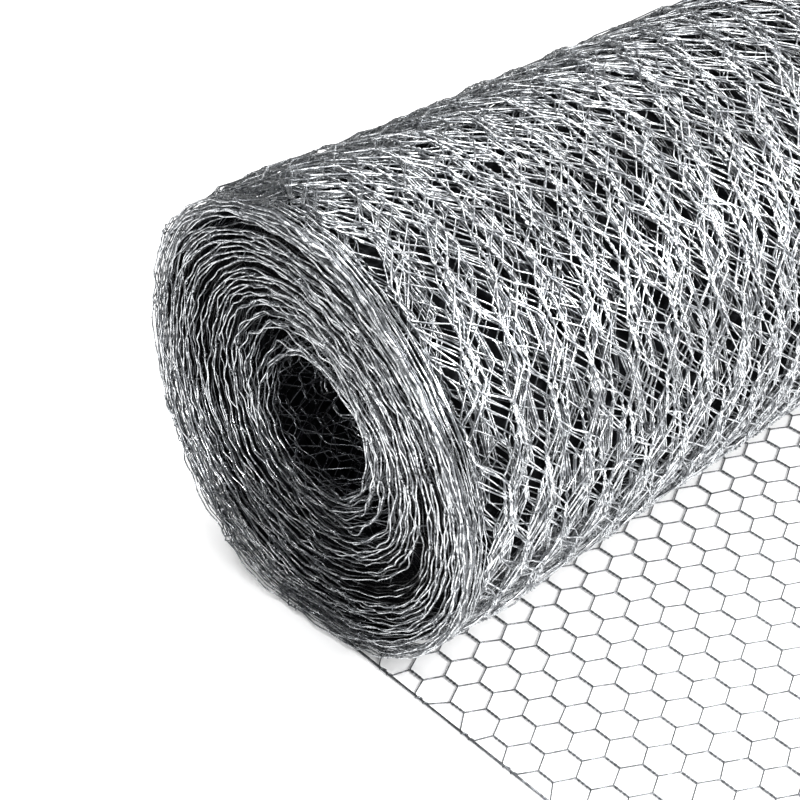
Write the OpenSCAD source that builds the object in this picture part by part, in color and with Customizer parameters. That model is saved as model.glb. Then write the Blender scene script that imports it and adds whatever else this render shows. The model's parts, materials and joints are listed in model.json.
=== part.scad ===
// Roll of hexagonal wire netting, lying on its side with its free end drawn out flat.
// X runs along the roll, the flat stretch lies towards -Y, and Z is up.

/* [Netting] */
// Distance between the two twisted sides of a mesh, before it is fitted to the roll's length
mesh_size = 25; // [13:1:50]
// Length of the twisted side of a mesh
twist_len = 13.5; // [6:0.5:30]
// Step along the netting between the two ends of a slanting wire
slant_rise = 6.5; // [3:0.5:20]
// Diameter of one wire
wire_d = 1; // [0.6:0.1:1.6]
// Diameter of the edge wire along both sides of the netting
edge_wire_d = 1.8; // [1:0.1:3]

/* [Roll] */
// Length of the roll, which is the width of the netting over its edge wires
roll_len = 900; // [400:50:1200]
// Outside diameter of the roll
roll_d = 310; // [200:5:400]
// Diameter of the open middle
bore_d = 100; // [60:5:140]
// Number of turns wound on the roll
turns = 39; // [20:1:60]

/* [Ends of the roll] */
// Depth of the groove between two turns
groove_depth = 3; // [1:0.5:8]
// How far single turns stand back from the end, at most
ragged_depth = 2.5; // [0:0.5:5]
// How far the innermost turn stands back from the outermost
funnel_depth = 12; // [0:1:30]

/* [Flat stretch] */
// Length of netting drawn out from the line on which the roll rests
tail_len = 346; // [200:5:500]
// Gap between the roll and the first wires of the flat stretch
seat_gap = 0.2; // [0.1:0.05:0.4]

/* [Hidden] */
NODES = ["roll", "tail_strip_1", "tail_strip_2", "tail_strip_3"];

zinc = [0.66, 0.68, 0.7];
curve_sides = 96;
bar_sides = 8;

// Winding
roll_r = roll_d / 2;
bore_r = bore_d / 2;
turn_pitch = (roll_r - bore_r) / turns;
// Part of a turn's thickness that its edge wire fills
crest_share = 0.65;
crest_half = turn_pitch * crest_share / 2;
// Turning angle from one turn's stand-back to the next, so that neighbours differ
ragged_angle = 137.5;
// Angle round the roll from the floor to the seam of its turned surface
seam_angle = 22.5;

// Netting
twist_d = 2 * wire_d;
tail_h = max(twist_d, edge_wire_d);
row_pitch = twist_len + slant_rise;
columns = round(roll_len / mesh_size);
net_w = roll_len - edge_wire_d;
half_mesh = net_w / (2 * columns);
// Half the width of a slanting wire, measured along the netting
slant_half = wire_d / 2 * sqrt(1 + pow(slant_rise / half_mesh, 2));

// Flat stretch: distances are measured outwards from the line on which the roll rests
seat = sqrt(pow(roll_r + seat_gap, 2) - pow(roll_r - tail_h, 2));
rows = round((tail_len - seat) / row_pitch);
tail_reach = seat + rows * row_pitch;
strips = len(NODES) - 1;
roll_y = (tail_reach - roll_r) / 2;

function turn_mid(i) = bore_r + turn_pitch * (i + 1 / 2);

function set_back(i) = i == turns - 1 ? 0
  : funnel_depth * pow(1 - i / (turns - 1), 2) + ragged_depth * (1 - cos(ragged_angle * i)) / 2;

function groove_bottom(i) = groove_depth + max(set_back(i), set_back(i + 1));

// Half section of one end, as radius and distance in from the end
end_section = concat(
  [[bore_r, set_back(0)]],
  [for (i = [0 : turns - 2]) each [
    [turn_mid(i) + crest_half, set_back(i)],
    [turn_mid(i) + turn_pitch / 2, groove_bottom(i)],
    [turn_mid(i + 1) - crest_half, set_back(i + 1)]
  ]],
  [[roll_r, set_back(turns - 1)]]
);
section_last = len(end_section) - 1;

function column_x(k) = half_mesh * k - net_w / 2;

// Distance out to the middle of twist row j, which is where a strip may end
function twist_row(j) = seat + row_pitch * j;

// Distance out to the zigzag's bend at column k, between twist rows j and j + 1
function bend(j, k) = twist_row(j) + twist_len / 2 + ((j + k) % 2 == 0 ? 0 : slant_rise);

// First zigzag of a strip, counting strips from 0
function first_row(strip) = floor(rows * strip / strips);

module roll() {
  color(zinc)
    translate([0, roll_y, roll_r])
      rotate([0, 90, 0])
        rotate([0, 0, seam_angle])
          rotate_extrude($fn = curve_sides)
            polygon(concat(
              [for (p = end_section) [p[0], p[1] - roll_len / 2]],
              [for (i = [section_last : -1 : 0]) [end_section[i][0], roll_len / 2 - end_section[i][1]]]
            ));
}

// Bar with flat sides that lies on the floor and runs outwards
module floor_bar(x, d, from, to) {
  translate([x, roll_y - from, d / 2])
    rotate([90, 180 / bar_sides, 0])
      cylinder(h = to - from, d = d / cos(180 / bar_sides), $fn = bar_sides);
}

// Single wires that zigzag across the whole width
module zigzag(j) {
  last = 2 * columns;
  translate([0, roll_y, (twist_d - wire_d) / 2])
    linear_extrude(height = wire_d)
      polygon(concat(
        [for (k = [0 : last]) [column_x(k), slant_half - bend(j, k)]],
        [for (k = [last : -1 : 0]) [column_x(k), -slant_half - bend(j, k)]]
      ));
}

// Pairs of wires twisted together, from one distance out to another
module twist_pairs(j, from, to) {
  for (k = [1 : 2 * columns - 1])
    if ((j + k) % 2 == 0)
      floor_bar(column_x(k), twist_d, from, to);
}

// Netting from the middle of one twist row to the middle of a later one
module tail_strip(strip) {
  first = first_row(strip);
  last = first_row(strip + 1);
  color(zinc) {
    for (j = [first : last - 1]) zigzag(j);
    for (j = [first : last])
      twist_pairs(
        j,
        twist_row(j) - (j == first ? 0 : twist_len / 2),
        twist_row(j) + (j == last ? 0 : twist_len / 2)
      );
    for (side = [0, 2 * columns])
      floor_bar(column_x(side), edge_wire_d, twist_row(first), twist_row(last));
  }
}

roll();
tail_strip(0);  // tail_strip_1
tail_strip(1);  // tail_strip_2
tail_strip(2);  // tail_strip_3
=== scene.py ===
import json
import math

import bpy
import numpy as np
from mathutils import Matrix, Vector


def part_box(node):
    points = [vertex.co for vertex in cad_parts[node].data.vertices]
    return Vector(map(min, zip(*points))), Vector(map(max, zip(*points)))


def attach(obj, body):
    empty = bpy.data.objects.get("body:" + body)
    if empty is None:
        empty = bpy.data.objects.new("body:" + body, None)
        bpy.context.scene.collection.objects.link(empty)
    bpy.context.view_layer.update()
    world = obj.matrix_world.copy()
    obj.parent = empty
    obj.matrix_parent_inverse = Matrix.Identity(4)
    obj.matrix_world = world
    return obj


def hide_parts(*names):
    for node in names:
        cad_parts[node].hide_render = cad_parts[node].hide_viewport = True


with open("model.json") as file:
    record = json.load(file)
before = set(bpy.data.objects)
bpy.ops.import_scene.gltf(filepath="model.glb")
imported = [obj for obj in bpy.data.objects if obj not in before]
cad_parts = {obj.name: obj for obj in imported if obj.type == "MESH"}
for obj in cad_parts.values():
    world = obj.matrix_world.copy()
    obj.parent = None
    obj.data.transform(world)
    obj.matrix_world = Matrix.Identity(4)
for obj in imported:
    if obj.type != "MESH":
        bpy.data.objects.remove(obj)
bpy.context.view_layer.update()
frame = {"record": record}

bl_info = {
    "name": "Roll of wire netting",
    "version": (1, 0, 0),
    "blender": (4, 5, 0),
    "location": "3D View > Sidebar > Netting",
    "description": "Builds a roll of hexagonal wire netting with its free end drawn out flat",
    "category": "Object",
}

BODY = "root"
TAIL_NODES = ("tail_strip_1", "tail_strip_2", "tail_strip_3")
MM = 0.001

ROLL_LOW, ROLL_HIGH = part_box("roll")
ROLL_LENGTH = ROLL_HIGH.x - ROLL_LOW.x
ROLL_RADIUS = (ROLL_HIGH.z - ROLL_LOW.z) / 2
AXIS_Y = (ROLL_LOW.y + ROLL_HIGH.y) / 2
AXIS_Z = (ROLL_LOW.z + ROLL_HIGH.z) / 2
TAIL_REACH = AXIS_Y - min(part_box(node)[0].y for node in TAIL_NODES)
BORE_MOUNT = next(mount for mount in frame["record"]["mounts"] if mount["name"] == "roll_bore")
BORE_RADIUS = BORE_MOUNT["dims"]["r_mm"] * MM


class NettingSizes(bpy.types.PropertyGroup):
    """Sizes of the netting and of the way it is wound."""

    columns: bpy.props.IntProperty(
        name="Columns", description="Meshes across the flat stretch", default=36, min=4
    )
    twist_length: bpy.props.FloatProperty(
        name="Twist length",
        description="Length of the twisted side of a mesh on the flat stretch",
        default=13.5 * MM,
        unit="LENGTH",
    )
    slant_rise: bpy.props.FloatProperty(
        name="Slant rise",
        description="Step along the flat stretch between the two ends of a slanting wire",
        default=6.5 * MM,
        unit="LENGTH",
    )
    wire: bpy.props.FloatProperty(
        name="Wire", description="Diameter of one wire", default=1.0 * MM, unit="LENGTH"
    )
    edge_wire: bpy.props.FloatProperty(
        name="Edge wire",
        description="Diameter of the wire along both sides",
        default=1.8 * MM,
        unit="LENGTH",
    )
    turns: bpy.props.IntProperty(name="Turns", description="Turns wound on the roll", default=39, min=12)
    wound_columns: bpy.props.IntProperty(
        name="Wound columns", description="Meshes across the wound turns", default=26, min=4
    )
    rows_per_turn: bpy.props.FloatProperty(
        name="Rows per turn",
        description="Rows of twists round a turn; just under an even number, so that turns nearly register",
        default=21.925,
        min=8,
    )
    tightness: bpy.props.FloatProperty(
        name="Tightness",
        description="Thickness of the outermost turn, as a share of the mean turn's",
        default=0.22,
    )
    end_tightness: bpy.props.FloatProperty(
        name="End tightness",
        description="The same share at the ends, where the turns spread",
        default=0.85,
    )
    flare: bpy.props.FloatProperty(
        name="Flare",
        description="How much larger the outer turns' radius is at the ends",
        default=3.0 * MM,
        unit="LENGTH",
    )
    twist_share: bpy.props.FloatProperty(
        name="Twist share",
        description="Share of a row that the twists of the wound turns fill",
        default=0.62,
    )
    funnel: bpy.props.FloatProperty(
        name="Funnel",
        description="How far the innermost turn stands back",
        default=12.0 * MM,
        unit="LENGTH",
    )
    seed: bpy.props.IntProperty(name="Seed", description="Start of the uneven winding", default=7)


class NettingFinish(bpy.types.PropertyGroup):
    """Colours of the netting and of the stage."""

    zinc: bpy.props.FloatVectorProperty(
        name="Zinc",
        description="Bright galvanised wire",
        subtype="COLOR",
        size=3,
        default=(0.80, 0.82, 0.84),
    )
    # Dull zinc: the dull patches that bright wire has at random, and also the top of the darker copy of the
    # zinc, painted shade worn by the flat stretch, the hooks, the deeper turns' ends and some edge strands
    dull_and_shaded_zinc: bpy.props.FloatVectorProperty(
        name="Dull zinc",
        description="Galvanised wire where it has dulled",
        subtype="COLOR",
        size=3,
        default=(0.26, 0.27, 0.285),
    )
    # Darkest patches of the darker copy of the zinc: random patches, painted darker as shade
    shaded_dull_patch: bpy.props.FloatVectorProperty(
        name="Dark zinc",
        description="Dull galvanised wire in its darkest patches",
        subtype="COLOR",
        size=3,
        default=(0.13, 0.137, 0.145),
    )
    # Depth: painted shade, the near-black colour given to turns deep inside the roll, where light hardly
    # reaches
    depth: bpy.props.FloatVectorProperty(
        name="Depth",
        description="Turns deep inside the roll",
        subtype="COLOR",
        size=3,
        default=(0.006, 0.0063, 0.007),
    )
    floor: bpy.props.FloatVectorProperty(
        name="Floor",
        description="Studio floor",
        subtype="COLOR",
        size=3,
        default=(0.9, 0.9, 0.9),
    )


class Value:
    """A shader socket that takes part in Python arithmetic by adding Math nodes."""

    def __init__(self, shader, socket):
        self.shader = shader
        self.socket = socket

    def _math(self, operation, first, second):
        return self.shader.value("ShaderNodeMath", {"operation": operation}, {0: first, 1: second})

    def __add__(self, other):
        return self._math("ADD", self, other)

    def __mul__(self, other):
        return self._math("MULTIPLY", self, other)

    def __sub__(self, other):
        return self._math("SUBTRACT", self, other)

    def __rsub__(self, other):
        return self._math("SUBTRACT", other, self)

    def __pow__(self, other):
        return self._math("POWER", self, other)

    def __abs__(self):
        return self._math("ABSOLUTE", self, 0.0)

    def at_most(self, other):
        return self._math("MINIMUM", self, other)

    __radd__ = __add__
    __rmul__ = __mul__


class Shader:
    """The node tree of one material."""

    # Sockets of a colour Mix node, whose names are shared with its other kinds
    MIX_LOW, MIX_HIGH, MIX_RESULT = 6, 7, 2

    def __init__(self, name):
        self.material = bpy.data.materials.new(name)
        self.material.use_nodes = True
        self.tree = self.material.node_tree
        self.tree.nodes.clear()

    def node(self, kind, settings=None, sockets=None):
        made = self.tree.nodes.new(kind)
        for key, setting in (settings or {}).items():
            setattr(made, key, setting)
        for key, given in (sockets or {}).items():
            if isinstance(given, Value):
                self.tree.links.new(given.socket, made.inputs[key])
            else:
                made.inputs[key].default_value = given
        return made

    def value(self, kind, settings=None, sockets=None, output=0):
        return Value(self, self.node(kind, settings, sockets).outputs[output])

    def mix(self, amount, low, high):
        low, high = ((*colour, 1.0) if isinstance(colour, tuple) else colour for colour in (low, high))
        return self.value(
            "ShaderNodeMix",
            {"data_type": "RGBA"},
            {"Factor": amount, self.MIX_LOW: low, self.MIX_HIGH: high},
            output=self.MIX_RESULT,
        )

    def ramp(self, amount, low, high):
        return self.value(
            "ShaderNodeMapRange",
            {"interpolation_type": "SMOOTHSTEP"},
            {"Value": amount, "From Min": low, "From Max": high, "To Min": 0.0, "To Max": 1.0},
        )

    def noise(self, place, scale, detail):
        return self.value("ShaderNodeTexNoise", None, {"Vector": place, "Scale": scale, "Detail": detail})

    def finish(self, surface):
        output = self.node("ShaderNodeOutputMaterial")
        self.tree.links.new(surface.socket, output.inputs["Surface"])
        return self.material


# Painted shade deep inside the roll, where wire is darkened towards the depth colour: how far behind an end
# it begins, how much faster it deepens there than under the outside, how much slower beside the open
# middle, and the depths over which the painted shade comes in
END_SKIN = 2 * MM
END_WEIGHT = 6.0
MIDDLE_WEIGHT = 0.5
PAINTED_SHADE_FROM, PAINTED_SHADE_TO = 6 * MM, 24 * MM


def enclosed(shader, place, funnel):
    """How far a place lies inside the roll, from its outside, its ends or its open middle."""
    x, y, z = (shader.value("ShaderNodeSeparateXYZ", None, {0: place}, output=axis) for axis in range(3))
    radius = ((y - AXIS_Y) ** 2.0 + (z - AXIS_Z) ** 2.0) ** 0.5
    under = ROLL_RADIUS - radius
    share = under * (1 / (ROLL_RADIUS - BORE_RADIUS))
    behind = ROLL_LENGTH / 2 - END_SKIN - abs(x) - share * share * funnel
    return under.at_most(behind * END_WEIGHT).at_most((radius - BORE_RADIUS) * MIDDLE_WEIGHT)


# Zinc: the scales of its patches and of its finer spangle, the patches' share in the pattern, the part
# of the pattern over which dull turns bright, and how rough the two are
PATCH_SCALE = 160.0
SPANGLE_SCALE = 420.0
PATCH_SHARE = 0.7
BRIGHT_FROM, BRIGHT_TO = 0.42, 0.54
DULL_ROUGHNESS, BRIGHT_ROUGHNESS = 0.44, 0.26
ZINC_METALLIC = 0.95


def zinc_material(name, finish):
    """Galvanised wire with random darker patches, as a bright copy or a copy painted darker as shade, and
    painted nearly black as shade deep inside the roll.
    """
    shader = Shader(name)
    place = shader.value("ShaderNodeTexCoord", output="Object")
    patches = shader.noise(place, PATCH_SCALE, detail=3.0)
    spangle = shader.noise(place, SPANGLE_SCALE, detail=1.0)
    bright = shader.ramp(patches * PATCH_SHARE + spangle * (1 - PATCH_SHARE), BRIGHT_FROM, BRIGHT_TO)
    # The dull copy is the same zinc painted darker, as shade: its patches run from darker still up to the
    # dull tone
    if name == "bright_zinc":
        low, high = finish.dull_and_shaded_zinc, finish.zinc
    else:
        low, high = finish.shaded_dull_patch, finish.dull_and_shaded_zinc
    colour = shader.mix(bright, tuple(low), tuple(high))
    # Painted shade: the deeper the wire lies inside the roll, the nearer its colour comes to the near-black
    # depth colour
    inside = enclosed(shader, place, bpy.context.scene.netting_sizes.funnel)
    colour = shader.mix(shader.ramp(inside, PAINTED_SHADE_FROM, PAINTED_SHADE_TO), colour, tuple(finish.depth))
    roughness = DULL_ROUGHNESS - bright * (DULL_ROUGHNESS - BRIGHT_ROUGHNESS)
    return shader.finish(
        shader.value(
            "ShaderNodeBsdfPrincipled",
            None,
            {"Base Color": colour, "Metallic": ZINC_METALLIC, "Roughness": roughness},
        )
    )


# Painted shade of the deep turns, near black with faint random streaks: the scale of the streaks, the part
# of the pattern over which these show, and how much lighter they are
STREAK_SCALE = 160.0
STREAK_FROM, STREAK_TO = 0.5, 0.75
STREAK_GAIN = 4


def deep_shade_material(name, finish):
    """Painted shade: a near-black colour for the turns so deep inside the roll that hardly any light comes
    back.
    """
    shader = Shader(name)
    place = shader.value("ShaderNodeTexCoord", output="Object")
    streaks = shader.noise(place, STREAK_SCALE, detail=2.0)
    lighter = tuple(STREAK_GAIN * channel for channel in finish.depth)
    colour = shader.mix(shader.ramp(streaks, STREAK_FROM, STREAK_TO), tuple(finish.depth), lighter)
    return shader.finish(
        shader.value(
            "ShaderNodeBsdfPrincipled",
            None,
            {"Base Color": colour, "Roughness": 1.0, "Specular IOR Level": 0.0},
        )
    )


# Floor: painted light, a glow that lifts the roll's cast shadow on the floor to white; how far from the
# line under the axis it begins and is full, how far on either side of an end it comes in, and its strength
GLOW_FROM, GLOW_TO = 60 * MM, 140 * MM
GLOW_AT_END = 20 * MM
GLOW_STRENGTH = 0.35


def floor_material(name, finish):
    """Plain pale studio floor, with a painted glow that lifts the roll's cast shadow, so it is evenly
    bright but under the roll.
    """
    shader = Shader(name)
    place = shader.value("ShaderNodeTexCoord", output="Object")
    x, y = (shader.value("ShaderNodeSeparateXYZ", None, {0: place}, output=axis) for axis in range(2))
    beside = shader.ramp(abs(y - AXIS_Y), GLOW_FROM, GLOW_TO)
    beyond = shader.ramp(abs(x) - ROLL_LENGTH / 2, -GLOW_AT_END, GLOW_AT_END)
    # Painted light: the floor glows everywhere but near and under the roll
    painted_glow = shader.mix(beside + beyond, (0.0, 0.0, 0.0), (1.0, 1.0, 1.0))
    return shader.finish(
        shader.value(
            "ShaderNodeBsdfPrincipled",
            None,
            {
                "Base Color": (*finish.floor, 1.0),
                "Roughness": 0.9,
                "Specular IOR Level": 0.1,
                "Emission Color": painted_glow,
                "Emission Strength": GLOW_STRENGTH,
            },
        )
    )


MATERIALS = {
    "bright_zinc": zinc_material,
    "dull_and_shaded_zinc": zinc_material,
    "deep_turns": deep_shade_material,
    "studio_floor": floor_material,
}


def material(name):
    """The material of that name, made the first time it is asked for."""
    return bpy.data.materials.get(name) or MATERIALS[name](name, bpy.context.scene.netting_finish)


def smooth_step(x):
    """Climbs smoothly from 0 to 1 while x does."""
    x = np.clip(x, 0.0, 1.0)
    return x * x * (3 - 2 * x)


def rise(x, start, stretch):
    """Climbs smoothly from 0 at the start to 1 at the end of a stretch."""
    return smooth_step((x - start) / stretch)


def hump(off, half):
    """A smooth hump that is 1 in its middle and 0 from half its width on."""
    return np.cos(np.clip(off / half, -1, 1) * math.pi / 2) ** 2


def hump_round(angle, middle, half):
    """A hump round the roll, with its middle as an angle from the floor and its half width, in degrees."""
    return hump((np.degrees(angle) - middle + 180) % 360 - 180, half)


class Wander:
    """Smooth unevenness over the netting: waves of unlike length and direction, added up."""

    def __init__(self, rng, waves, along, across, spread):
        self.along = 2 * math.pi / rng.uniform(*along, waves)
        self.across = 2 * math.pi / rng.uniform(*across, waves) * rng.choice((-1, 1), waves)
        self.start = rng.uniform(0, 2 * math.pi, waves)
        self.size = spread * math.sqrt(2 / waves)

    def __call__(self, s, u):
        total = 0.0
        for along, across, start in zip(self.along, self.across, self.start):
            total = total + np.sin(along * s + across * u + start)
        return self.size * total


class Netting:
    """Hexagonal netting, as the runs of its wires.

    A place in the sheet is v along it, counted in rows of twists, u across it, and n off it, upwards on the
    flat stretch and towards the axis on the roll. uneven scales how far its wires stray.
    """

    # Standard deviations of each twist's place along, across and off the sheet, and of its tilt
    SHIFT_ALONG = 2.0 * MM
    SHIFT_ACROSS = 1.6 * MM
    SHIFT_OFF = 0.5 * MM
    TILT = 0.09
    # Standard deviations of each slanting wire's bow, across and off the sheet
    BOW_ACROSS = 1.3 * MM
    BOW_OFF = 0.8 * MM
    # Shares by which wires wind tighter or wider round the edge wire, and how many times as far as
    # elsewhere their twists shift along it
    HOOK_RANGE = (-0.3, 0.4)
    EDGE_SHIFT = 7

    def __init__(self, columns, rows, row_pitch, twist_share, sizes, uneven):
        self.rng = np.random.default_rng(sizes.seed)
        self.wire = sizes.wire
        self.edge_wire = sizes.edge_wire
        self.width = ROLL_LENGTH - sizes.edge_wire
        self.last_column = 2 * columns
        self.all_wires = np.arange(self.last_column)
        self.row_pitch = row_pitch
        self.twist_share = twist_share
        self.twist_arm = self.wire / 2
        table = (rows + 2, self.last_column + 1)
        self.shift_v = uneven * self.rng.normal(0, self.SHIFT_ALONG / row_pitch, table)
        self.shift_u = uneven * self.rng.normal(0, self.SHIFT_ACROSS, table)
        self.shift_n = uneven * self.rng.normal(0, self.SHIFT_OFF, table)
        self.tilt = uneven * self.rng.normal(0, self.TILT, table)
        self.bow_u = uneven * self.rng.normal(0, self.BOW_ACROSS, table)
        self.bow_n = uneven * self.rng.normal(0, self.BOW_OFF, table)
        self.hook = 1 + uneven * self.rng.uniform(*self.HOOK_RANGE, table)
        for change in (self.shift_u, self.shift_n, self.tilt):
            change[:, (0, -1)] = 0.0
        self.shift_v[:, (0, -1)] *= self.EDGE_SHIFT

    def wires(self, first, last, numbers, parts, twists, bends=0, hook_share=1.0):
        """Runs of whole wires from one row of twists to another, as v, u and n.

        Wire m swings between columns m and m + 1. Each twist has so many parts and whole twists, and each
        slanting wire so many bends. A wire winds round the edge wire within hook_share of a twist's length.
        """
        j = np.arange(first, last + 1)[None, :, None]
        m = np.asarray(numbers)[:, None, None]
        t = np.linspace(0, 1, parts + 1)[None, None, :]
        right = (j + m) % 2 == 0
        column = np.where(right, m, m + 1)
        at_edge = (column == 0) | (column == self.last_column)
        arm = np.where(at_edge, (self.edge_wire + self.wire) / 2 * self.hook[j, column], self.twist_arm)
        turn = 2 * math.pi * twists * t + np.where(right, 0, math.pi)
        run = (t - 0.5) * self.twist_share * np.where(at_edge, hook_share, 1.0)
        v = j + run + self.shift_v[j, column]
        u = self.width * (column / self.last_column - 0.5) + self.shift_u[j, column]
        u = u + self.tilt[j, column] * run * self.row_pitch + arm * np.cos(turn)
        n = self.shift_n[j, column] + arm * np.sin(turn)
        twist = np.stack(np.broadcast_arrays(v, u, n))
        f = np.arange(1, bends + 1) / (bends + 1)
        start, end = twist[:, :, :-1, -1, None], twist[:, :, 1:, 0, None]
        bow = np.stack((0 * self.bow_u, self.bow_u, self.bow_n))[:, j[:, :-1, 0], m[:, :, 0]][..., None]
        slant = start + (end - start) * f + bow * 4 * f * (1 - f)
        slant = np.concatenate((slant, twist[:, :, -1:, -1:].repeat(bends, 3)), 2)
        whole = np.concatenate((twist, slant), 3).reshape(3, len(numbers), -1)
        return whole[..., : whole.shape[-1] - bends]


class FlatStretch(Netting):
    """The free end of the netting, flat on the floor, with its rows counted from the cut end."""

    # Unevenness, as a share of the roll's
    UNEVEN = 0.12

    def __init__(self, sizes):
        row_pitch = sizes.twist_length + sizes.slant_rise
        self.rows = int(TAIL_REACH / row_pitch)
        twist_share = sizes.twist_length / row_pitch
        super().__init__(sizes.columns, self.rows, row_pitch, twist_share, sizes, self.UNEVEN)

    def place(self, v, u, n):
        """Points in space of places in the sheet, and the way up at each."""
        height = np.maximum(self.wire + n, self.wire / 2)
        points = np.stack((u, AXIS_Y - TAIL_REACH + v * self.row_pitch, height), -1)
        return points, np.broadcast_to((0.0, 0.0, 1.0), points.shape)


class WoundNetting(Netting):
    """The turns of the roll, with rows counted from the line on which the roll rests, inwards."""

    # Gaps between groups of turns: share of all turns, angle from the floor and half width in degrees,
    # and size in mm
    CRESCENTS = (
        (0.80, 265.0, 75.0, 8.0),
        (0.90, 150.0, 80.0, 9.0),
        (0.54, 308.0, 50.0, 6.0),
        (0.87, 305.0, 50.0, 5.0),
        (0.70, 70.0, 60.0, 4.0),
        (0.45, 110.0, 60.0, 2.0),
    )

    # How far the middle of the outermost turn lies under the outside, and the twists' arm in wires
    SKIN = 1.3 * MM
    TWIST_ARM = 0.85

    # Wandering of the turns: number of waves, their lengths along and across the netting in metres, and
    # the standard deviation
    RADIAL = (14, (0.03, 0.16), (0.04, 0.3), 0.5 * MM)
    RADIAL_SLOW = (10, (0.15, 0.5), (0.15, 0.8), 0.9 * MM)
    SIDEWAYS = (12, (0.4, 2.5), (0.25, 1.5), 4.5 * MM)
    LENGTHWAYS = (12, (0.4, 2.5), (0.25, 1.5), 9.0 * MM)
    RAGGED = (14, (0.08, 0.7), (0.4, 1.5), 3.0 * MM)
    KINK = (14, (0.018, 0.09), (0.04, 0.2), 0.4 * MM)
    KINK_SIDE = (14, (0.018, 0.09), (0.04, 0.2), 0.7 * MM)

    # Length of netting from the floor over which the winding comes to its full unevenness, in metres
    SETTLE_LENGTH = 0.25
    # Share of all rows where the turns begin to loosen and over which they do, and by how much
    LOOSEN_AT = (0.55, 0.4)
    LOOSEN = 1.6
    # Share of all turns over which they come to their full raggedness, and the outermost turn's share of it
    RAGGED_WITHIN = 0.15
    RAGGED_OUTSIDE = 0.3

    # Shares of the half width where a change towards the ends begins, and over which it comes: the turns
    # stand back, keep to their places across the roll, kink, spread apart, and become ragged
    STAND_BACK_AT = (0.55, 0.45)
    KEEP_AT = (0.92, 0.07)
    KINK_AT = (0.93, 0.06)
    SPREAD_AT = (0.96, 0.036)
    RAGGED_AT = (0.85, 0.13)

    # The roll is slimmer in its middle: how far, over what share of its length, and up to what share of
    # the waist it is fuller past that
    WAIST = 7.0 * MM
    WAIST_SHARE = 0.6
    FULLER_SHARE = 0.2
    # It swells behind its ends: how far, at what share of the half width, how far to both sides of that,
    # and at what angle from the floor it swells most, in degrees, with how strong a lean to it
    SWELL = 6.5 * MM
    SWELL_AT = 0.89
    SWELL_HALF = 0.13
    SWELL_ANGLE = 150
    SWELL_LEAN = 0.4
    # Its lower back stands out at the ends: how far, and its angle from the floor and half width in degrees
    STAND_OUT = 11.5 * MM
    STAND_OUT_AT = (35.0, 75.0)

    # The floor bears turns at angles from it whose cosine is above this. Their gap to it is in wires, and
    # deeper turns keep this share of their depth there
    FLOOR_COSINE = 0.2
    FLOOR_GAP = 2
    FLOOR_DEPTH_SHARE = 0.9

    def __init__(self, sizes):
        self.rows_per_turn = sizes.rows_per_turn
        self.turns = sizes.turns
        self.funnel = sizes.funnel
        self.outer = ROLL_RADIUS - self.SKIN
        self.depth = ROLL_RADIUS - BORE_RADIUS
        self.tightness = sizes.tightness
        self.end_tightness = sizes.end_tightness
        self.flare = sizes.flare
        self.rows = int(sizes.turns * sizes.rows_per_turn)
        row_pitch = 2 * math.pi * self.outer / sizes.rows_per_turn
        super().__init__(sizes.wound_columns, self.rows, row_pitch, sizes.twist_share, sizes, 1.0)
        self.twist_arm = self.TWIST_ARM * self.wire
        self.radial = Wander(self.rng, *self.RADIAL)
        self.radial_slow = Wander(self.rng, *self.RADIAL_SLOW)
        self.sideways = Wander(self.rng, *self.SIDEWAYS)
        self.lengthways = Wander(self.rng, *self.LENGTHWAYS)
        self.ragged = Wander(self.rng, *self.RAGGED)
        self.kink = Wander(self.rng, *self.KINK)
        self.kink_side = Wander(self.rng, *self.KINK_SIDE)

    def depth_of(self, share, spread=0.0):
        """Depth below the outermost turn after that share of all turns; the outer turns lie tighter."""
        tightness = self.tightness + (self.end_tightness - self.tightness) * spread
        return self.depth * (tightness * share + (1 - tightness) * share**3)

    def along(self, angle):
        """Length of netting wound within that angle from the floor."""
        share = angle / (2 * math.pi * self.turns)
        mean_depth = self.depth * (self.tightness * share / 2 + (1 - self.tightness) * share**3 / 4)
        return (self.outer - mean_depth) * angle

    def first_row(self, turn):
        """First row of a turn, counting turns from the outside."""
        return min(math.ceil(turn * self.rows_per_turn), self.rows)

    def place(self, v, u, n):
        """Points in space of places in the sheet, and the way towards the axis at each."""
        s = self.along(2 * math.pi * v / self.rows_per_turn)
        wound = rise(s, 0.0, self.SETTLE_LENGTH)
        loose = 1 + self.LOOSEN * rise(v / self.rows, *self.LOOSEN_AT)
        ahead = wound * loose * self.lengthways(s, u) / self.row_pitch
        angle = np.maximum(2 * math.pi * (v + ahead) / self.rows_per_turn, 0.0)
        share = angle / (2 * math.pi * self.turns)
        side = np.abs(2 * u / self.width)
        kinked = rise(side, *self.KINK_AT)
        # The turns lie tight along the roll and spread at its ends, which flare a little
        spread = rise(side, *self.SPREAD_AT)
        depth = self.depth_of(share, spread)
        set_back = self.funnel * (depth / self.depth) ** 2
        stand_out = self.STAND_OUT * hump_round(angle, *self.STAND_OUT_AT) * (1 - share) ** 2
        within = self.RAGGED_OUTSIDE + (1 - self.RAGGED_OUTSIDE) * rise(share, 0.0, self.RAGGED_WITHIN)
        ragged = np.abs(self.ragged(s, u)) * within * rise(side, *self.RAGGED_AT)
        set_back = set_back - wound * stand_out + ragged
        for at, middle, half, size in self.CRESCENTS:
            gap = size * MM * hump_round(angle, middle, half)
            depth = depth + gap * (smooth_step((share - at) * self.turns) - share)
        uneven = self.radial(s, u) * loose + self.radial_slow(s, u) + self.kink(s, u) * kinked
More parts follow.
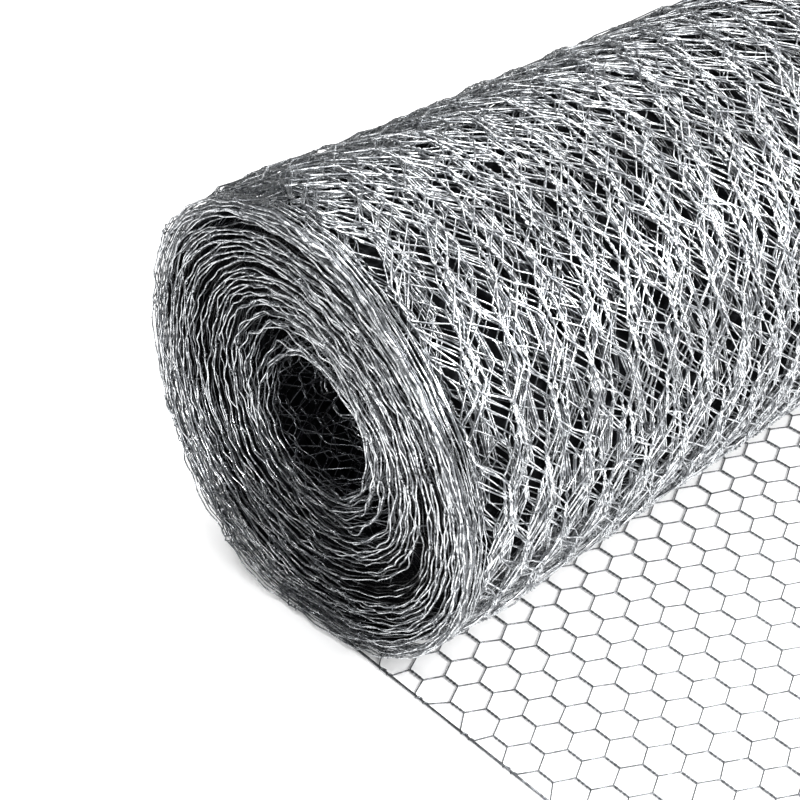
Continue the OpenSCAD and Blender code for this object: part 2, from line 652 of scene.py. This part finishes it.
        # The roll is slimmer along its middle and swells behind its ends, most on top
        lean = 1 - self.SWELL_LEAN + self.SWELL_LEAN * np.cos(angle - math.radians(self.SWELL_ANGLE))
        swell = self.SWELL * hump(side - self.SWELL_AT, self.SWELL_HALF) * lean
        waist = self.WAIST * np.minimum(side / self.WAIST_SHARE - 1, self.FULLER_SHARE)
        fuller = self.flare * spread + swell + waist
        radius = self.outer - depth + wound * (uneven + fuller * (1 - share))
        # The outer turns rest on the floor, so nothing bulges below it
        down = np.cos(angle)
        low = down > self.FLOOR_COSINE
        floor_limit = (AXIS_Z - self.FLOOR_GAP * self.wire) / np.maximum(down, self.FLOOR_COSINE)
        radius = np.where(low, np.minimum(radius, floor_limit - depth * self.FLOOR_DEPTH_SHARE), radius)
        reach = radius - n
        reach = np.where(low, np.minimum(reach, floor_limit + self.wire), reach)
        free = 1 - rise(side, *self.KEEP_AT)
        shift = self.sideways(s, u) * loose * free + self.kink_side(s, u) * kinked
        x = u + wound * shift - np.sign(u) * rise(side, *self.STAND_BACK_AT) * set_back
        points = np.stack((x, AXIS_Y + reach * np.sin(angle), AXIS_Z - reach * down), -1)
        return points, np.stack((0 * angle, -np.sin(angle), down), -1)


# Turn of a wire's corners about its own run, in sides
CORNER_TURN = 0.25


def tubes(points, inward, radius, sides):
    """Vertices, side quads and end caps of round wires along rows of points."""
    count, length = points.shape[:2]
    run = np.empty_like(points)
    run[:, 1:-1] = points[:, 2:] - points[:, :-2]
    run[:, 0] = points[:, 1] - points[:, 0]
    run[:, -1] = points[:, -1] - points[:, -2]
    run /= np.linalg.norm(run, axis=-1, keepdims=True)
    across = np.cross(run, inward)
    across /= np.linalg.norm(across, axis=-1, keepdims=True)
    off = np.cross(across, run)
    corner = 2 * math.pi * (np.arange(sides) + CORNER_TURN) / sides
    ring = np.cos(corner)[:, None] * across[:, :, None] + np.sin(corner)[:, None] * off[:, :, None]
    verts = (points[:, :, None] + radius * ring).reshape(-1, 3)
    index = np.arange(count * length * sides).reshape(count, length, sides)
    following = np.roll(index, -1, axis=2)
    quads = np.stack((index[:, :-1], index[:, 1:], following[:, 1:], following[:, :-1]), -1)
    caps = np.concatenate((index[:, 0], index[:, -1, ::-1]))
    return verts, quads.reshape(-1, 4), caps


def wire_piece(name, parts, finish, nodes):
    """One joined piece made of several sets of tubes, standing for those CAD nodes."""
    places, corners, starts = [], [], []
    base = loops = 0
    for verts, quads, caps in parts:
        places.append(verts)
        for faces in (quads, caps):
            corners.append((faces + base).ravel())
            starts.append(loops + faces.shape[1] * np.arange(len(faces)))
            loops += faces.size
        base += len(verts)
    places, corners, starts = (np.concatenate(a) for a in (places, corners, starts))
    mesh = bpy.data.meshes.new(name)
    mesh.vertices.add(len(places))
    mesh.vertices.foreach_set("co", places.astype(np.float32).ravel())
    mesh.loops.add(len(corners))
    mesh.loops.foreach_set("vertex_index", corners.astype(np.int32))
    mesh.polygons.add(len(starts))
    mesh.polygons.foreach_set("loop_start", starts.astype(np.int32))
    mesh.polygons.foreach_set("use_smooth", np.ones(len(starts), bool))
    mesh.update(calc_edges=True)
    if mesh.validate():
        raise RuntimeError(f"{name} has faces that Blender refuses")
    piece = bpy.data.objects.new(name, mesh)
    bpy.context.scene.collection.objects.link(piece)
    dress(piece, finish, nodes)


def dress(piece, finish, nodes):
    """Gives a finished piece its material and its body, and hides the CAD nodes that it stands for."""
    piece.data.materials.append(material(finish))
    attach(piece, BODY)
    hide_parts(*nodes)


def deselect():
    """Leaves nothing selected, so that an operator acts on the new piece alone."""
    if bpy.context.object and bpy.context.object.mode != "OBJECT":
        bpy.ops.object.mode_set(mode="OBJECT")
    bpy.ops.object.select_all(action="DESELECT")


# Turns counted from the outside: how many have finely twisted pairs, how many have twisted pairs at all,
# and how many are built whole
FINE_TURNS = 2
PAIRED_TURNS = 6
WHOLE_TURNS = 18
# Turns counted from the open middle: how many line it from end to end, and how many show near its ends
LINING_TURNS = 3
INNER_TURNS = 7
# Wires counted from each side of the netting: how many make the deeper turns' ends, and how many more
# the inner turns have near the ends
END_WIRES = 4
INNER_END_WIRES = 10
# Diameters on the roll, in wires: of the turns built whole, of the deeper turns' ends, of the inner turns
WOUND_WIRE = 1.35
DEEP_END_WIRE = 0.8
INNER_WIRE = 1.3
# Corners round a wire: of those seen close to, and of the others
FINE_SIDES = 4
PLAIN_SIDES = 3


class NETTING_OT_flat_stretch(bpy.types.Operator):
    """Lays the free end of the netting flat on the floor, with its twisted pairs"""

    bl_idname = "netting.flat_stretch"
    bl_label = "Flat stretch"

    # Parts and whole twists of each pair, and corners round the edge wires
    PAIR_PARTS = 8
    PAIR_TWISTS = 2
    EDGE_SIDES = 8

    def execute(self, context):
        sheet = FlatStretch(context.scene.netting_sizes)
        path = sheet.wires(0, sheet.rows, sheet.all_wires, self.PAIR_PARTS, self.PAIR_TWISTS)
        # The cut end runs through the middle of the first row of twists
        path = path[..., self.PAIR_PARTS // 2:]
        wires = tubes(*sheet.place(*path), sheet.wire / 2, FINE_SIDES)
        # The flat stretch and its edge wires wear the zinc painted darker, as shade
        wire_piece("flat_stretch", [wires], "dull_and_shaded_zinc", TAIL_NODES)
        y = np.array([[AXIS_Y - TAIL_REACH, AXIS_Y]])
        for name, sign in (("left", -1), ("right", 1)):
            points = np.stack((0 * y + sign * sheet.width / 2, y, 0 * y + sheet.edge_wire / 2), -1)
            up = np.broadcast_to((0.0, 0.0, 1.0), points.shape)
            edge = tubes(points, up, sheet.edge_wire / 2, self.EDGE_SIDES)
            wire_piece(f"flat_edge_wire_{name}", [edge], "dull_and_shaded_zinc", TAIL_NODES)
        return {"FINISHED"}


class NETTING_OT_outer_turns(bpy.types.Operator):
    """Winds the outer turns, whose twisted pairs are seen"""

    bl_idname = "netting.outer_turns"
    bl_label = "Outer turns"

    # Parts and whole twists of each pair, and bends of each slanting wire
    PAIR_PARTS = 9
    PAIR_TWISTS = 3
    SLANT_BENDS = 1

    def execute(self, context):
        sheet = WoundNetting(context.scene.netting_sizes)
        detail = self.PAIR_PARTS, self.PAIR_TWISTS, self.SLANT_BENDS
        for turn in range(FINE_TURNS):
            rows = sheet.first_row(turn), sheet.first_row(turn + 1)
            path = sheet.wires(*rows, sheet.all_wires[1:-1], *detail)
            # A later turn's first twists are the last ones of the turn before it
            path = path[..., self.PAIR_PARTS:] if turn else path
            wires = tubes(
                *sheet.place(*path), sheet.wire * WOUND_WIRE / 2, PLAIN_SIDES if turn else FINE_SIDES
            )
            wire_piece(f"outer_turn_{turn + 1}", [wires], "bright_zinc", ("roll",))
        return {"FINISHED"}


class NETTING_OT_under_turns(bpy.types.Operator):
    """Winds the turns that show through the meshes of the outer ones"""

    bl_idname = "netting.under_turns"
    bl_label = "Turns under the outer ones"

    # Parts and whole twists of each pair
    PAIRED = (6, 2)
    STRAIGHT = (1, 1)

    def execute(self, context):
        sheet = WoundNetting(context.scene.netting_sizes)
        for turn in range(FINE_TURNS, WHOLE_TURNS):
            parts, twists = self.PAIRED if turn < PAIRED_TURNS else self.STRAIGHT
            rows = sheet.first_row(turn), sheet.first_row(turn + 1)
            path = sheet.wires(*rows, sheet.all_wires[1:-1], parts, twists)[..., parts:]
            wires = tubes(*sheet.place(*path), sheet.wire * WOUND_WIRE / 2, PLAIN_SIDES)
            wire_piece(f"under_turn_{turn + 1}", [wires], "bright_zinc", ("roll",))
        return {"FINISHED"}


class NETTING_OT_roll_ends(bpy.types.Operator):
    """Winds the ends of all the deeper turns, and the edge wires of all turns"""

    bl_idname = "netting.roll_ends"
    bl_label = "Ends of the roll"

    # Parts and whole twists of each pair, and of each hooking wire
    PAIR_PARTS = 3
    PAIR_TWISTS = 1
    HOOK_PARTS = 7
    HOOK_TWISTS = 2
    # Share of a twist's length in which a wire hooks on to the edge wire
    HOOK_SHARE = 0.45
    # Diameters of the hooking wires, in wires, on the turns built whole and on the deeper ones
    OUTER_HOOK, DEEP_HOOK = 1.0, 0.85
    # Strands of the edge: on how many turns, with None for all, how far in from the edge, how far below
    # the turn, their diameter in wires, the step along them in rows, and their finish, where the dull one
    # is the zinc painted darker, as shade
    STRANDS = (
        (None, -0.5 * MM, 0.0, 1.25, 0.13, "bright_zinc"),
        (None, 3.0 * MM, 1.2 * MM, 0.9, 0.3, "dull_and_shaded_zinc"),
        (5, 1.5 * MM, 0.4 * MM, 0.9, 0.25, "dull_and_shaded_zinc"),
        (4, 5.0 * MM, 0.0, 0.9, 0.25, "bright_zinc"),
        (4, 8.0 * MM, 0.0, 0.9, 0.25, "bright_zinc"),
        (4, 12.0 * MM, 0.0, 0.9, 0.25, "bright_zinc"),
    )

    def execute(self, context):
        sheet = WoundNetting(context.scene.netting_sizes)
        ends = (("left", sheet.all_wires, -1), ("right", sheet.all_wires[::-1], 1))
        for name, wires, sign in ends:
            self.add_turn_ends(sheet, name, wires[1:END_WIRES])
            self.add_hooks(sheet, name, wires[:1])
            self.add_strands(sheet, name, sign)
        return {"FINISHED"}

    def add_turn_ends(self, sheet, name, wires):
        """Netting at one end of the turns that aren't built whole."""
        rows = sheet.first_row(WHOLE_TURNS), sheet.rows
        path = sheet.wires(*rows, wires, self.PAIR_PARTS, self.PAIR_TWISTS)
        ends = tubes(*sheet.place(*path), sheet.wire * DEEP_END_WIRE / 2, PLAIN_SIDES)
        # The deeper turns' ends wear the zinc painted darker, as shade
        wire_piece(f"turn_ends_{name}", [ends], "dull_and_shaded_zinc", ("roll",))

    def add_hooks(self, sheet, name, wires):
        """The wire that hooks on to the edge wire, along all turns."""
        hooks = []
        groups = ((0, WHOLE_TURNS, self.OUTER_HOOK), (WHOLE_TURNS, sheet.turns, self.DEEP_HOOK))
        for first, last, size in groups:
            rows = sheet.first_row(first), sheet.first_row(last)
            path = sheet.wires(*rows, wires, self.HOOK_PARTS, self.HOOK_TWISTS, hook_share=self.HOOK_SHARE)
            hooks.append(tubes(*sheet.place(*path), sheet.wire * size / 2, PLAIN_SIDES))
        # The hooking wires wear the zinc painted darker, as shade
        wire_piece(f"hooks_{name}", hooks, "dull_and_shaded_zinc", ("roll",))

    def add_strands(self, sheet, name, sign):
        """Strands that run along the edge of the netting."""
        for number, (turns, inside, below, size, step, finish) in enumerate(self.STRANDS, 1):
            v = np.arange(0, sheet.first_row(turns or sheet.turns), step)[None]
            u = np.full_like(v, sign * (sheet.width / 2 - inside))
            n = np.full_like(v, below)
            strand = tubes(*sheet.place(v, u, n), sheet.wire * size / 2, PLAIN_SIDES)
            wire_piece(f"edge_strand_{name}_{number}", [strand], finish, ("roll",))


class NETTING_OT_open_middle(bpy.types.Operator):
    """Winds the innermost turns, which line the open middle"""

    bl_idname = "netting.open_middle"
    bl_label = "Open middle"

    # Parts and whole twists of each pair
    PAIRED = (2, 1)

    def execute(self, context):
        sheet = WoundNetting(context.scene.netting_sizes)
        wires = sheet.all_wires[END_WIRES:-END_WIRES]
        inner = sheet.first_row(sheet.turns - INNER_TURNS)
        lining = sheet.first_row(sheet.turns - LINING_TURNS)
        paths = [sheet.wires(lining, sheet.rows, wires, *self.PAIRED)]
        for near_end in (wires[:INNER_END_WIRES], wires[-INNER_END_WIRES:]):
            paths.append(sheet.wires(inner, lining, near_end, *self.PAIRED))
        runs = [tubes(*sheet.place(*path), sheet.wire * INNER_WIRE / 2, PLAIN_SIDES) for path in paths]
        wire_piece("inner_turns", runs, "bright_zinc", ("roll",))
        return {"FINISHED"}


class NETTING_OT_deep_turns(bpy.types.Operator):
    """Fills the roll behind the turns that are seen with one body painted near black, as the shade deep
    inside the roll
    """

    bl_idname = "netting.deep_turns"
    bl_label = "Deep turns"

    # The body's flanges lie so far behind the ends of the roll, and their backs slope by so much
    FLANGE_BEHIND = 20 * MM
    FLANGE_SLOPE = 4 * MM
    # A thin lip reaches from each flange towards the end, a near-black backing that paints shade close
    # under
    # the outer turns: its depth under the outermost turn, its wall and how far behind the end it stops
    LIP_DEPTH = 7 * MM
    LIP_WALL = 1.5 * MM
    LIP_BEHIND = 5 * MM
    # Room between the body and the inner turns
    INNER_ROOM = 6 * MM
    # Corners round the body, and the angle up to which its edges are smooth
    SIDES = 96
    SMOOTH_ANGLE = math.radians(40)

    def execute(self, context):
        sheet = WoundNetting(context.scene.netting_sizes)
        outer = sheet.outer - sheet.depth_of(WHOLE_TURNS / sheet.turns)
        lip = sheet.outer - self.LIP_DEPTH
        inner = sheet.outer - sheet.depth_of(1 - INNER_TURNS / sheet.turns) + self.INNER_ROOM
        end = ROLL_LENGTH / 2 - self.FLANGE_BEHIND
        lip_end = ROLL_LENGTH / 2 - self.LIP_BEHIND
        half = [
            (end - sheet.funnel, inner),
            (end, lip - self.LIP_WALL),
            (lip_end, lip - self.LIP_WALL),
            (lip_end, lip),
            (end, lip),
            (end - self.FLANGE_SLOPE, outer),
        ]
        waist = outer - sheet.WAIST * (1 - WHOLE_TURNS / sheet.turns)
        section = [*half, (0.0, waist), *((-x, r) for x, r in reversed(half))]
        count = len(section)
        mesh = bpy.data.meshes.new("deep_turns")
        edges = [(i, (i + 1) % count) for i in range(count)]
        mesh.from_pydata([(x, 0, r) for x, r in section], edges, [])
        piece = bpy.data.objects.new("deep_turns", mesh)
        context.scene.collection.objects.link(piece)
        deselect()
        piece.select_set(True)
        context.view_layer.objects.active = piece
        turned = piece.modifiers.new("turned", "SCREW")
        turned.axis = "X"
        turned.steps = turned.render_steps = self.SIDES
        turned.use_merge_vertices = True
        bpy.ops.object.modifier_apply(modifier=turned.name)
        piece.location = (0, AXIS_Y, AXIS_Z)
        bpy.ops.object.transform_apply(location=True, rotation=True, scale=True)
        bpy.ops.object.mode_set(mode="EDIT")
        bpy.ops.mesh.select_all(action="SELECT")
        bpy.ops.mesh.normals_make_consistent(inside=False)
        bpy.ops.object.mode_set(mode="OBJECT")
        bpy.ops.object.shade_smooth_by_angle(angle=self.SMOOTH_ANGLE)
        # Painted shade: the body is coloured near black where the deep turns lie in shade
        dress(piece, "deep_turns", ("roll",))
        return {"FINISHED"}


# The camera, as found from the photograph's own meshes: its place from the near end of the roll on the
# floor below the axis, its turn about the upright, its dip and its lean in degrees, and its lens
CAMERA_PLACE = Vector((-0.543, -0.790, 0.877))
CAMERA_AZIMUTH = -38.38
CAMERA_ELEVATION = 36.14
CAMERA_LEAN = -3.649
CAMERA_LENS = 86.31
CAMERA_SENSOR = 36
CAMERA_CLIP = (0.05, 50)


class NETTING_OT_stage(bpy.types.Operator):
    """Adds the floor, the studio lights and the camera"""

    bl_idname = "netting.stage"
    bl_label = "Stage"

    FLOOR_SIZE = 14
    WORLD_STRENGTH = 0.05
    # Name, place, target, size and power in watts
    LAMPS = (
        ("key_light", (0.9, -2.3, 1.9), (0.0, 0.0, 0.1), 1.8, 165.0),
        ("overhead_light", (-0.3, 0.5, 2.8), (-0.1, 0.2, 0.0), 2.4, 98.0),
        ("left_light", (-2.2, -1.0, 0.5), (-0.4, 0.1, 0.15), 0.35, 22.0),
    )

    def execute(self, context):
        deselect()
        bpy.ops.mesh.primitive_plane_add(size=self.FLOOR_SIZE, location=(0, 0, 0))
        floor = context.object
        floor.name = floor.data.name = "studio_floor"
        floor.data.materials.append(material("studio_floor"))
        for name, place, target, size, power in self.LAMPS:
            bpy.ops.object.light_add(type="AREA", location=place)
            lamp = context.object
            lamp.name = lamp.data.name = name
            lamp.data.shape = "SQUARE"
            lamp.data.size = size
            lamp.data.energy = power
            lamp.rotation_euler = (Vector(target) - Vector(place)).to_track_quat("-Z", "Y").to_euler()
        world = bpy.data.worlds.new("studio")
        world.use_nodes = True
        background = world.node_tree.nodes["Background"]
        background.inputs["Color"].default_value = (1.0, 1.0, 1.0, 1.0)
        background.inputs["Strength"].default_value = self.WORLD_STRENGTH
        context.scene.world = world
        self.add_camera(context)
        context.scene.view_settings.view_transform = "Standard"
        return {"FINISHED"}

    def add_camera(self, context):
        """The camera, looking at the near end of the roll."""
        turn, dip, lean = map(math.radians, (CAMERA_AZIMUTH, CAMERA_ELEVATION, CAMERA_LEAN))
        back = Vector((math.sin(turn) * math.cos(dip), -math.cos(turn) * math.cos(dip), math.sin(dip)))
        right = Vector((math.cos(turn), math.sin(turn), 0))
        up = back.cross(right)
        leaned_right = math.cos(lean) * right + math.sin(lean) * up
        leaned_up = math.cos(lean) * up - math.sin(lean) * right
        place = CAMERA_PLACE + Vector((ROLL_LOW.x, AXIS_Y, 0))
        bpy.ops.object.camera_add()
        camera = context.object
        camera.name = camera.data.name = "camera"
        camera.data.sensor_width = CAMERA_SENSOR
        camera.data.lens = CAMERA_LENS
        camera.data.clip_start, camera.data.clip_end = CAMERA_CLIP
        turned = Matrix((leaned_right, leaned_up, back)).transposed().to_4x4()
        camera.matrix_world = Matrix.Translation(place) @ turned
        context.scene.camera = camera


class NETTING_PT_panel(bpy.types.Panel):
    """Lists the steps that build the roll"""

    bl_idname = "NETTING_PT_panel"
    bl_label = "Roll of wire netting"
    bl_space_type = "VIEW_3D"
    bl_region_type = "UI"
    bl_category = "Netting"

    def draw(self, context):
        for group in (context.scene.netting_sizes, context.scene.netting_finish):
            column = self.layout.column()
            for key in group.__annotations__:
                column.prop(group, key)
        for step in STEPS:
            self.layout.operator(step.bl_idname)


STEPS = (
    NETTING_OT_flat_stretch,
    NETTING_OT_outer_turns,
    NETTING_OT_under_turns,
    NETTING_OT_roll_ends,
    NETTING_OT_open_middle,
    NETTING_OT_deep_turns,
    NETTING_OT_stage,
)
CLASSES = (NettingSizes, NettingFinish, *STEPS, NETTING_PT_panel)


def register():
    for each in CLASSES:
        bpy.utils.register_class(each)
    bpy.types.Scene.netting_sizes = bpy.props.PointerProperty(type=NettingSizes)
    bpy.types.Scene.netting_finish = bpy.props.PointerProperty(type=NettingFinish)


def unregister():
    del bpy.types.Scene.netting_finish
    del bpy.types.Scene.netting_sizes
    for each in reversed(CLASSES):
        bpy.utils.unregister_class(each)


def main():
    register()
    bpy.ops.netting.flat_stretch()
    bpy.ops.netting.outer_turns()
    bpy.ops.netting.under_turns()
    bpy.ops.netting.roll_ends()
    bpy.ops.netting.open_middle()
    bpy.ops.netting.deep_turns()
    bpy.ops.netting.stage()


if __name__ == "__main__":
    main()
